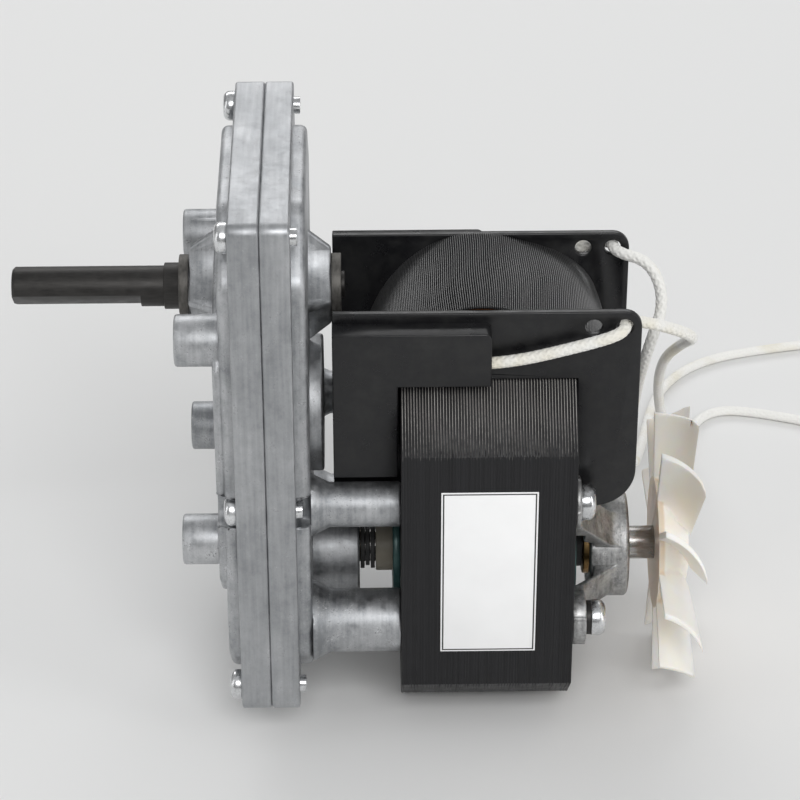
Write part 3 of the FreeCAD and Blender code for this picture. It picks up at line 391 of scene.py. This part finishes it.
def bench(node):
    """A working copy of a CAD node's mesh, joined at its corners, with each flat face whole."""
    work = bmesh.new()
    work.from_mesh(frame["nodes"][node].data)
    bmesh.ops.remove_doubles(work, verts=work.verts, dist=CORNER_GAP * MM)
    flat = math.radians(FLAT_ANGLE)
    bmesh.ops.dissolve_limit(work, angle_limit=flat, verts=work.verts, edges=work.edges)
    return work


def soften(work, width):
    """Rounds a piece's outer edges, by a width in millimetres. Where small faces crowd, the skin stays."""
    skin = BVHTree.FromBMesh(work)
    sharp = [e for e in work.edges if e.is_convex and e.calc_face_angle(0.0) > math.radians(SHARP_ANGLE)]
    bmesh.ops.bevel(
        work, geom=sharp, offset=width * MM, offset_type="OFFSET", affect="EDGES", segments=2,
        profile=0.5, material=-1, clamp_overlap=False, loop_slide=True,
    )
    for vertex in work.verts:
        near, normal, index, gap = skin.find_nearest(vertex.co)
        if gap > STRAY_SHARE * width * MM:
            vertex.co = near


def dress(node, finish, width=0.0, smooth=35.0):
    """A finished copy of a CAD node, in its place, with its edges rounded."""
    work = bench(node)
    if width:
        soften(work, width)
    return piece(node + "_finished", work, finish, BODY_OF[node], SLOT_OF[node], node, smooth=smooth)


def cast_metal(name, light, dark, roughness, pitted=0.55, finer=1.0, trimmed=None):
    """Bare die-cast metal: cloudy from its flow in the die, with clusters of dark pits and bright specks.
    It is calmer and darker on the trimmed rim, which is given by its two ends along X."""
    made = Finish(name, metallic=0.92)
    cloud = made.noise(0.10 * finer, 4.0, (1.0, 1.0, 0.7), 0.55)
    mottle = made.noise(0.45 * finer, 6.0, (1.0, 0.8, 0.7), 0.70)
    streak = made.noise(1.6, 2.0, (1.0, 0.05, 0.05), 0.5)
    fine = made.noise(3.0, 4.0, (1.0, 1.0, 1.0), 0.75)
    clusters = made.level(mottle, 0.50, 0.62)
    pits = made.level(fine, 0.54, 0.63) * clusters * pitted
    specks = made.level(fine, 0.40, 0.34) * clusters
    tone = made.level(cloud * 0.34 + mottle * 0.40 + streak * 0.13 + fine * 0.13, 0.41, 0.61)
    if trimmed:
        on_rim = made.level(made.along("X"), trimmed[0] - RIM_FADE, trimmed[0] + RIM_FADE)
        on_rim *= made.level(made.along("X"), trimmed[1] - RIM_FADE, trimmed[1] + RIM_FADE, 1.0, 0.0)
        calm = cloud * 0.45 + mottle * 0.30 + streak * 0.25
        tone += (made.level(calm, 0.25, 0.72, 0.0, 0.75) - tone) * on_rim * RIM_CALM
        pits *= 1.0 - on_rim * RIM_CALM
        specks *= 1.0 - on_rim * RIM_CALM
    skin = made.blend(pits, made.blend(tone, dark, light), tuple(c * 0.25 for c in dark))
    made.put("Base Color", made.blend(specks, skin, tuple(min(0.9, c * 1.35) for c in light)))
    made.put("Roughness", made.level(mottle, 0.36, 0.64, roughness - 0.10, roughness + 0.10))
    made.bump(fine * 0.35 + mottle * 0.45 + streak * 0.20, 0.4, 0.05)
    return made


joint_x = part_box("front_housing")[1].x / MM
cast = cast_metal(
    "die_cast_shell", CAST_LIGHT, CAST_DARK, 0.48, 0.75, trimmed=(joint_x - FRONT_RIM, joint_x + REAR_RIM)
)
dress("front_housing", cast, SHELL_EDGE)
dress("rear_housing", cast, SHELL_EDGE)

# Six zinc-plated pan-head screws close the shells, and four long ones hold the bracket and the stator.
# Spring washers of dark steel sit under the two lower heads.
ZINC = (0.78, 0.79, 0.80)
DULL_SHARE = 0.64


def steel(name, tone, roughness, grain=(1.0, 1.0, 1.0), metallic=1.0):
    """Plain or plated steel, with fine tool marks along the stretched direction."""
    made = Finish(name, metallic=metallic)
    marks = made.noise(3.0, 3.0, grain, 0.6)
    cloud = made.noise(0.5, 3.0)
    dark = tuple(c * DULL_SHARE for c in tone)
    made.put("Base Color", made.blend(made.level(marks * 0.5 + cloud * 0.5, 0.35, 0.6), dark, tone))
    made.put("Roughness", made.level(cloud, 0.3, 0.7, roughness - 0.06, roughness + 0.08))
    made.bump(marks, 0.25, 0.015)
    return made


zinc = steel("zinc_plate", ZINC, 0.24)
dark_steel = steel("blackened_steel", (0.045, 0.043, 0.041), 0.46, (0.15, 1.0, 1.0), metallic=0.7)
dress("housing_screws", zinc, 0.08)
dress("through_bolts", zinc, 0.08)
dress("spring_washers", dark_steel, 0.08)

# The output shaft is turned steel, blackened, with one flat milled along its end.
# It runs in a flanged bush of sintered bronze at each end.
bronze = Finish("sintered_bronze", metallic=0.8)
bronze_pits = bronze.noise(2.2, 3.0, (1.0, 0.4, 0.4))
bronze_tone = bronze.level(bronze_pits, 0.35, 0.65)
bronze.put("Base Color", bronze.blend(bronze_tone, (0.09, 0.086, 0.08), (0.15, 0.143, 0.133)))
bronze.put("Roughness", bronze.level(bronze_pits, 0.3, 0.7, 0.48, 0.62))
bronze.bump(bronze_pits, 0.3, 0.03)
dress("output_shaft", dark_steel, 0.12)
dress("front_bush", bronze, 0.15)
dress("rear_bush", bronze, 0.15)

# The gear train is cut from steel and greased. Each cluster is a gear and a pinion in one piece.
# The clusters turn on fixed arbors that are held by both shells.
gear_steel = steel("gear_steel", (0.46, 0.45, 0.43), 0.3)
bright_steel = steel("ground_steel", (0.50, 0.49, 0.48), 0.22, (0.2, 1.0, 1.0))
for node in ("gear_cluster_1", "gear_cluster_2", "gear_cluster_3", "output_gear"):
    dress(node, gear_steel)
for node in ("arbor_1", "arbor_2", "arbor_3", "motor_pinion", "front_thrust_washer", "rear_thrust_washer"):
    dress(node, bright_steel, smooth=30)

# The stator is sixty stamped sheets, pinned into a block and painted black.
# Each sheet's edge stands out as a thin ridge. On the sloping shoulders the crests are lighter: partly worn
# paint, partly painted highlight growing towards the top.
SHEETS = 60
SHEET_GROOVE = 0.18
SHEET_ROUND = 0.11
SHEET_DEPTH = 1.2
FACE_PROUD = 0.05
SHOULDER_PROUD = 0.24
SHOULDER_UNEVEN = 0.4
STACK_TOP_CUT = 9.5
STACK_BOTTOM_CUT = 7.0
PAINT = (0.009, 0.009, 0.010)
BARE_STEEL_AND_HIGHLIGHT = (0.42, 0.40, 0.375)

stack_low, stack_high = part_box("stator_stack")
shoulder_foot = (stack_high.z / MM) - STACK_TOP_CUT
paint = Finish("black_paint", specular_ior_level=0.3)
paint_cloud = paint.noise(0.4, 4.0)
sheet_lines = paint.noise(1.0, 2.0, (4.0, 0.02, 0.02))
rubbed = paint.noise(1.3, 4.0, (1.5, 1.0, 0.5), 0.7)
# Painted highlight: this ramp lightens the shoulder's crests more towards the top, as if lit from above.
shoulder_highlight_ramp = paint.level(paint.along("Z"), shoulder_foot - 0.3, shoulder_foot + 6.0, 0.12, 0.75)
shoulder_highlight_ramp *= paint.level(paint.along("Z"), shoulder_foot - 0.5, shoulder_foot - 0.2)
sheet_place = (paint.along("X") - stack_low.x / MM) * (SHEETS / (stack_high.x - stack_low.x) * MM)
crest = 1.0 - (sheet_place.maths("FRACT") * 2.0 - 1.0).maths("ABSOLUTE")
crest = paint.level(crest, 0.72, 0.95)
worn_crests_and_highlight = crest * paint.level(shoulder_highlight_ramp * 0.8 + rubbed * 0.8, 0.50, 1.0)
black = paint.blend(paint.level(sheet_lines, 0.35, 0.65), PAINT, tuple(c * 1.6 for c in PAINT))
# The crests on the shoulder get a light steel colour: partly bare steel where the paint is worn, partly
# painted highlight.
paint.put("Base Color", paint.blend(worn_crests_and_highlight * shoulder_highlight_ramp.maths("SIGN"), black, BARE_STEEL_AND_HIGHLIGHT))
paint.put("Roughness", paint.level(paint_cloud, 0.3, 0.7, 0.38, 0.52))
paint.bump(sheet_lines * 0.7 + paint_cloud * 0.3, 0.4, 0.03)


def sheet_rim(work, x, thick, face_proud, shoulder_proud):
    """One sheet's rim: its outline, cut to a ring and given its thickness."""
    half = stack_high.y + face_proud
    low, high = stack_low.z - face_proud, stack_high.z + face_proud
    top = STACK_TOP_CUT * MM - shoulder_proud
    bottom = STACK_BOTTOM_CUT * MM
    corners = [
        (half - bottom, low), (half, low + bottom), (half, high - top), (half - top, high),
        (-half + top, high), (-half, high - top), (-half, low + bottom), (-half + bottom, low),
    ]
    outline = work.faces.new([work.verts.new((x, y, z)) for y, z in corners])
    outline.normal_update()
    ring = bmesh.ops.inset_region(
        work, faces=[outline], thickness=SHEET_DEPTH * MM, use_boundary=True, use_even_offset=True
    )["faces"]
    bmesh.ops.delete(work, geom=[outline], context="FACES")
    grown = bmesh.ops.extrude_face_region(work, geom=ring)["geom"]
    far_side = [v for v in grown if isinstance(v, bmesh.types.BMVert)]
    bmesh.ops.translate(work, verts=far_side, vec=(thick, 0, 0))


dice = random.Random(7)
sheet_work = bmesh.new()
sheet_pitch = (stack_high.x - stack_low.x) / SHEETS
for k in range(SHEETS):
    uneven = dice.uniform(-0.5, 0.5)
    start = stack_low.x + k * sheet_pitch + SHEET_GROOVE * MM / 2
    thick = sheet_pitch - SHEET_GROOVE * MM
    face_proud = FACE_PROUD * (1 + uneven) * MM
    shoulder_proud = SHOULDER_PROUD * (1 + SHOULDER_UNEVEN * uneven) * MM
    sheet_rim(sheet_work, start, thick, face_proud, shoulder_proud)
bmesh.ops.recalc_face_normals(sheet_work, faces=sheet_work.faces)
crests = [e for e in sheet_work.edges if e.is_convex and abs(e.verts[0].co.x - e.verts[1].co.x) < 0.01 * MM]
bmesh.ops.bevel(
    sheet_work, geom=crests, offset=SHEET_ROUND * MM, offset_type="OFFSET", affect="EDGES", segments=2,
    profile=0.5, material=-1,
)
piece("sheet_edges", sheet_work, paint, "housing", "black_lamination", smooth=25)
dress("stator_stack", paint, 0.1)
dress("coil_core", paint)

# The bobbin is moulded in black plastic: two cheeks on a tube round the core, each with a cover for a lead.
# Its skin is slightly glossy, with scuffs and faint flow lines.
plastic = Finish("black_moulding", specular_ior_level=0.42)
scuff = plastic.noise(0.35, 4.0, (1.0, 1.0, 1.0), 0.6)
grain = plastic.noise(5.0, 2.0)
scuffed = plastic.level(scuff, 0.45, 0.75)
plastic.put("Base Color", plastic.blend(scuffed, (0.007, 0.007, 0.008), (0.016, 0.016, 0.016)))
plastic.put("Roughness", plastic.level(scuff, 0.35, 0.7, 0.26, 0.46))
plastic.bump(grain * 0.5 + scuff * 0.5, 0.25, 0.03)
dress("bobbin", plastic, 0.22)

# The coil is wound with enamelled wire and wrapped in one layer of ribbed black tape.
# The tape's ribs run from cheek to cheek, a little unevenly, and its edges meet the cheeks.
RIB_PITCH = 0.39
RIB_STEPS = 6
RIB_HEIGHT = 0.32
TAPE_STATIONS = 14
TAPE_LOOKS = 720
TAPE_EASE = 14
TAPE_BACK = 0.3
RIB_DRIFT = 0.09
RIB_BOWS = 2.6
RIB_WANDER = 40.0
tape = Finish("ribbed_tape", roughness=0.36, specular_ior_level=0.6)
weave = tape.noise(3.2, 2.0, (1.0, 1.0, 1.0), 0.5)
wrapped = tape.node("SeparateXYZ", None, {0: tape.node("TexCoord", output="UV")})
thread = 1.0 - (wrapped.maths("FRACT") * 2.0 - 1.0).maths("ABSOLUTE")
# Painted highlight: each rib's crest is painted lighter, broken up by the weave noise.
crest_highlight = tape.level(thread, 0.5, 0.9) * tape.level(weave, 0.3, 0.7, 0.5, 1.0)
tape.put("Base Color", tape.blend(crest_highlight, (0.006, 0.006, 0.007), (0.125, 0.125, 0.125)))
tape.bump(weave, 0.5, 0.05)
enamel = Finish("enamelled_wire", metallic=0.9, roughness=0.3)
enamel.put("Base Color", enamel.blend(enamel.noise(2.0), (0.35, 0.12, 0.05), (0.55, 0.24, 0.1)))


def loop_length(points):
    return sum((b - a).length for a, b in zip(points, points[1:] + points[:1]))


def tape_outline(y, count):
    """Points an even step apart round the tape, at one place across it. Rays find them on the plain solid."""
    seen = []
    for k in range(TAPE_LOOKS):
        turn = 2 * math.pi * k / TAPE_LOOKS
        away = Vector((math.cos(turn), 0.0, math.sin(turn)))
        start = Vector((tape_middle.x, y, tape_middle.z)) + away * tape_reach
        seen.append(tape_skin.ray_cast(start, -away)[0])
    window = range(-TAPE_EASE, TAPE_EASE + 1)
    eased = []
    for k in range(TAPE_LOOKS):
        near = [seen[(k + j) % TAPE_LOOKS] for j in window]
        eased.append(sum(near, Vector()) / len(near))
    return evenly(eased + eased[:1], loop_length(eased) / count * (1 - 1e-6))[:count]


plain_tape = bench("coil_tape")
tape_skin = BVHTree.FromBMesh(plain_tape)
plain_tape.free()
tape_low, tape_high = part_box("coil_tape")
tape_middle = (tape_low + tape_high) / 2
tape_reach = (tape_high - tape_low).length
ribs = round(loop_length(tape_outline(tape_middle.y, TAPE_LOOKS)) / (RIB_PITCH * MM))
columns = ribs * RIB_STEPS
tape_edge = (tape_high.y - tape_low.y) * 0.001
tape_lines = []
for k in range(TAPE_STATIONS + 1):
    station = tape_low.y + tape_edge + (tape_high.y - tape_low.y - 2 * tape_edge) * (k / TAPE_STATIONS)
    tape_lines.append(tape_outline(station, columns))
rib_heights = [RIB_HEIGHT * MM * dice.uniform(0.85, 1.1) for k in range(ribs)]
tape_work = bmesh.new()
bmesh.ops.create_grid(tape_work, x_segments=columns, y_segments=TAPE_STATIONS, size=1.0)
wrap_uv = tape_work.loops.layers.uv.new("wrap")
for loop in [l for f in tape_work.faces for l in f.loops]:
    loop[wrap_uv].uv = ((loop.vert.co.x + 1) / 2 * ribs, (loop.vert.co.y + 1) / 2)
for vertex in tape_work.verts:
    column = round((vertex.co.x + 1) / 2 * columns) % columns
    share = (vertex.co.y + 1) / 2
    line = tape_lines[round(share * TAPE_STATIONS)]
    ahead = (line[(column + 1) % columns] - line[column - 1]).normalized()
    outward = ahead.cross(Vector((0, 1, 0)))
    outward *= 1 if outward.dot(line[column] - tape_middle) > 0 else -1
    lift = rib_heights[column // RIB_STEPS] * (abs(math.sin(math.pi * column / RIB_STEPS)) - 0.5)
    drift = RIB_DRIFT * MM * math.sin(RIB_BOWS * math.pi * share + column / columns * RIB_WANDER)
    vertex.co = line[column] + outward * lift + ahead * drift
bmesh.ops.remove_doubles(tape_work, verts=tape_work.verts, dist=0.001 * MM)
ends = bmesh.ops.extrude_edge_only(tape_work, edges=[e for e in tape_work.edges if e.is_boundary])["geom"]
for vertex in [v for v in ends if isinstance(v, bmesh.types.BMVert)]:
    inward = Vector((tape_middle.x - vertex.co.x, 0, tape_middle.z - vertex.co.z))
    vertex.co += inward.normalized() * TAPE_BACK * MM
bmesh.ops.bridge_loops(tape_work, edges=[e for e in tape_work.edges if e.is_boundary])
bmesh.ops.recalc_face_normals(tape_work, faces=tape_work.faces)
piece("ribbed_coil_tape", tape_work, tape, "housing", SLOT_OF["coil_tape"], "coil_tape", smooth=80)
dress("winding", enamel)

# The label is a bare white sticker on the near face of the stator.
# It is a thin glossy film with one printed line round its margin.
LABEL_LINE_IN = 0.25
LABEL_LINE = 0.26
LABEL_LINE_FADE = 0.03
film = Finish("white_film", roughness=0.36, coat_weight=0.2)
label_low, label_high = (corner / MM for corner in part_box("label"))
from_side = (film.along("X") - label_low.x).maths("MINIMUM", label_high.x - film.along("X"))
from_end = (film.along("Z") - label_low.z).maths("MINIMUM", label_high.z - film.along("Z"))
margin = from_side.maths("MINIMUM", from_end)
line_end = LABEL_LINE_IN + LABEL_LINE
printed = film.level(margin, LABEL_LINE_IN, LABEL_LINE_IN + LABEL_LINE_FADE)
printed *= film.level(margin, line_end, line_end + LABEL_LINE_FADE, 1.0, 0.0)
film_tone = film.level(film.noise(0.12, 3.0), 0.3, 0.7)
white = film.blend(film_tone, (0.93, 0.93, 0.93), (0.97, 0.97, 0.97))
film.put("Base Color", film.blend(printed, white, (0.03, 0.03, 0.03)))
dress("label", film, 0.04)

# The rotor is a laminated core with a cast ring at each end, pressed on a ground shaft.
# The rings are lacquered green, and a moulded spacer and five fibre shims set the end play.
# It turns in two plain bearings of oiled bronze.
lacquer = Finish("green_lacquer", roughness=0.3, metallic=0.2)
lacquer.put("Base Color", lacquer.blend(lacquer.noise(0.8, 4.0), (0.02, 0.055, 0.055), (0.07, 0.15, 0.145)))
lacquer.bump(lacquer.noise(1.0, 3.0), 0.5, 0.08)
bare_sheet = steel("bare_sheet_edges", (0.24, 0.24, 0.25), 0.4, (3.0, 0.2, 0.2))
beige = Finish("beige_moulding", roughness=0.5)
beige.put("Base Color", beige.blend(beige.noise(0.4, 3.0), (0.22, 0.20, 0.16), (0.34, 0.31, 0.25)))
fibre = Finish("black_fibre", roughness=0.6)
fibre.put("Base Color", fibre.blend(fibre.noise(2.0, 3.0), (0.02, 0.02, 0.02), (0.06, 0.06, 0.06)))
dress("rotor_shaft", bright_steel, 0.1)
dress("rotor_core", bare_sheet)
dress("rotor_end_rings", lacquer, 0.3)
dress("rotor_spacer", beige, 0.2)
dress("shim_washers", fibre, 0.1)
oiled = Finish("oiled_bronze", metallic=1.0, roughness=0.34)
oiled.put("Base Color", oiled.blend(oiled.noise(1.5, 3.0), (0.22, 0.13, 0.05), (0.55, 0.36, 0.16)))
dress("front_bearing", oiled, 0.2)
dress("rear_bearing", oiled, 0.2)

# A copper loop is let into each pole and shades a part of it, so that the rotor starts one way.
# The loops are bent from drawn rod, and their ends stand out of both faces of the stack.
copper = Finish("drawn_copper", metallic=1.0)
tarnish = copper.noise(0.9, 3.0)
tarnished = copper.level(tarnish, 0.4, 0.6)
copper.put("Base Color", copper.blend(tarnished, (0.10, 0.05, 0.03), (0.62, 0.33, 0.17)))
copper.put("Roughness", copper.level(tarnish, 0.3, 0.7, 0.25, 0.45))
dress("shading_rings", copper)

# The rear bracket is a small die casting: a bearing cup on four arms whose feet stand on the stack.
# Its skin is darker and grainier than the gearbox's.
bracket_cast = cast_metal("die_cast_bracket", (0.58, 0.58, 0.575), (0.20, 0.20, 0.20), 0.44, 0.8, 3.5)
dress("rear_bracket", bracket_cast, 0.3)

# The fan is one ivory moulding pressed on the shaft: a cupped hub and ten thin blades that twist one way.
# The blades are thin enough to glow warm where light comes through them. The disc's left face is painted
# darker and warmer, as painted shade.
SHADED_DISC_RADIUS = 12.3
SHADED_DISC_DEPTH = 0.9
ivory = Finish("ivory_moulding", roughness=0.42, subsurface_weight=0.5, subsurface_scale=0.003)
ivory.shader.inputs["Subsurface Radius"].default_value = (1.0, 0.68, 0.40)
ivory_cloud = ivory.level(ivory.noise(0.08, 3.0), 0.35, 0.65)
disc_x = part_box("fan")[0].x / MM
shaft_z = (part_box("rotor_shaft")[0].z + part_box("rotor_shaft")[1].z) / 2 / MM
up, across = ivory.along("Z") - shaft_z, ivory.along("Y")
from_shaft = (up * up + across * across).maths("SQRT")
# Painted shade: the disc's left face, inside this radius and depth, is painted a darker warm tone.
disc_painted_shade = ivory.level(from_shaft, SHADED_DISC_RADIUS - 0.5, SHADED_DISC_RADIUS, 1.0, 0.0)
disc_painted_shade *= ivory.level(ivory.along("X"), disc_x + SHADED_DISC_DEPTH, disc_x + SHADED_DISC_DEPTH + 0.4, 1.0, 0.0)
pale = ivory.blend(ivory_cloud, (0.97, 0.885, 0.79), (1.0, 0.95, 0.885))
ivory.put("Base Color", ivory.blend(disc_painted_shade, pale, (0.84, 0.70, 0.55)))
ivory.bump(ivory.noise(1.2, 3.0), 0.15, 0.04)
dress("fan", ivory, 0.12)
